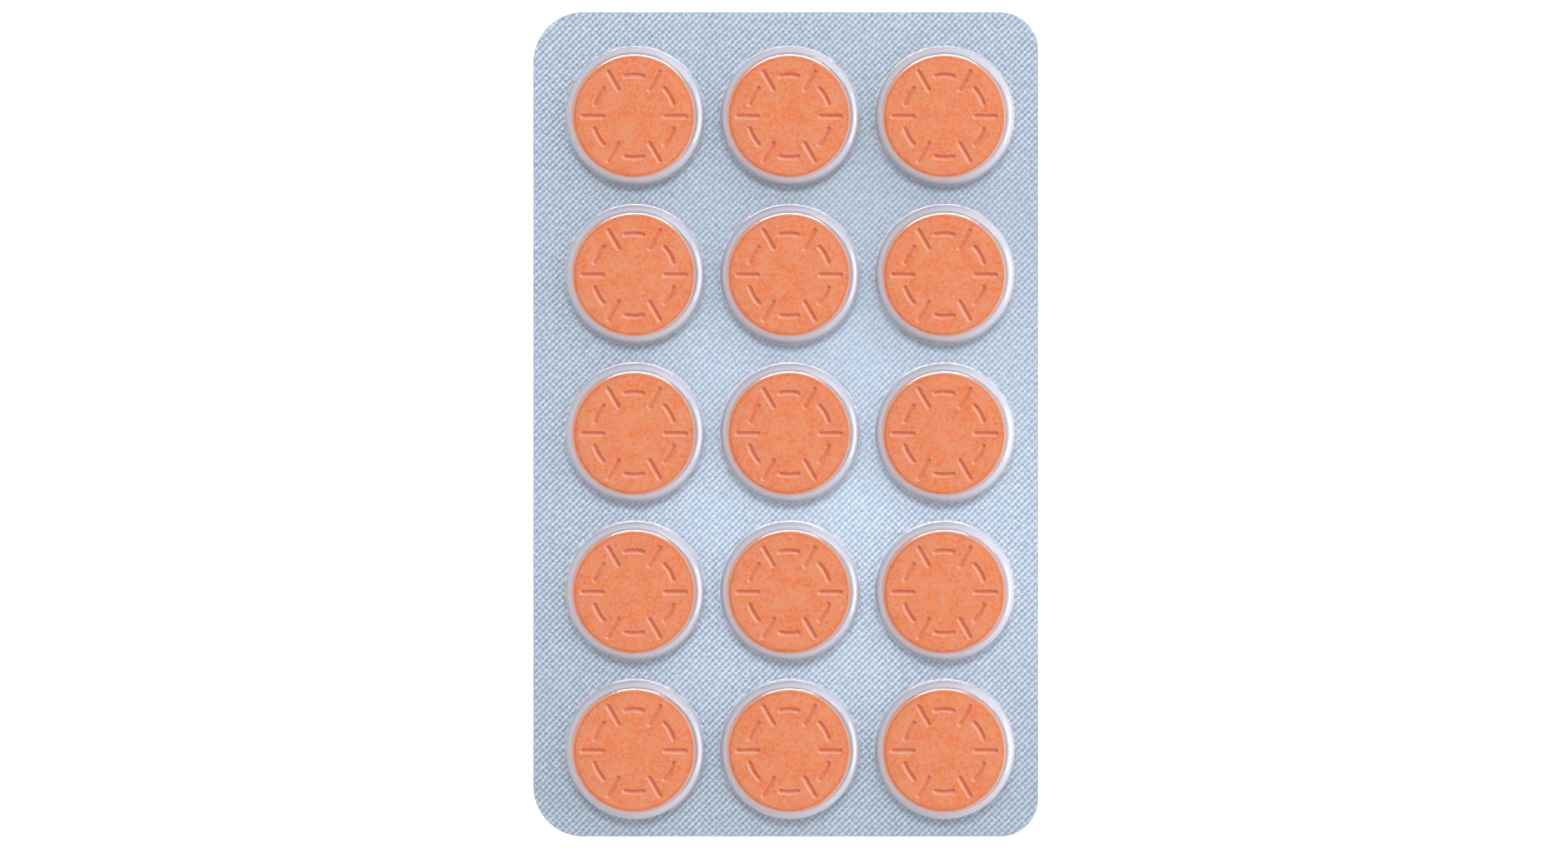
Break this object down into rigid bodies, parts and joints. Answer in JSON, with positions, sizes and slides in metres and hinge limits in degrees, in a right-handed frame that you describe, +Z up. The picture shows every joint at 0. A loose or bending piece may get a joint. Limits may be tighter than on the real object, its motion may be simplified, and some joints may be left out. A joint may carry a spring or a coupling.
{
  "type": "pill blister pack",
  "caption": "Flat rounded-corner blister card: a clear film with rows of round pockets, a knurled foil sealed to its back and a flat round tablet in each pocket.",
  "frame": {"origin": "centre of the foil's underside, on the surface that the pack lies on", "axes": "+Z up through the pockets, +Y along the pack's length towards tablet row 1, +X across the columns towards column 3"},
  "size_m": [0.065, 0.1062, 0.0055],
  "materials": {
    "clear_film": "clear rigid PVC film, heat-formed, glossy",
    "foil": "hard aluminium lidding foil, diamond knurled where it is sealed",
    "tablet": "pressed powder, chalky orange with pale specks"
  },
  "bodies": {
    "root": {"forming_film": "clear_film", "lidding_foil": "foil", "tablet_row1_col1": "tablet", "tablet_row1_col2": "tablet", "tablet_row1_col3": "tablet", "tablet_row2_col1": "tablet", "tablet_row2_col2": "tablet", "tablet_row2_col3": "tablet", "tablet_row3_col1": "tablet", "tablet_row3_col2": "tablet", "tablet_row3_col3": "tablet", "tablet_row4_col1": "tablet", "tablet_row4_col2": "tablet", "tablet_row4_col3": "tablet", "tablet_row5_col1": "tablet", "tablet_row5_col2": "tablet", "tablet_row5_col3": "tablet"}
  },
  "joints": []
}
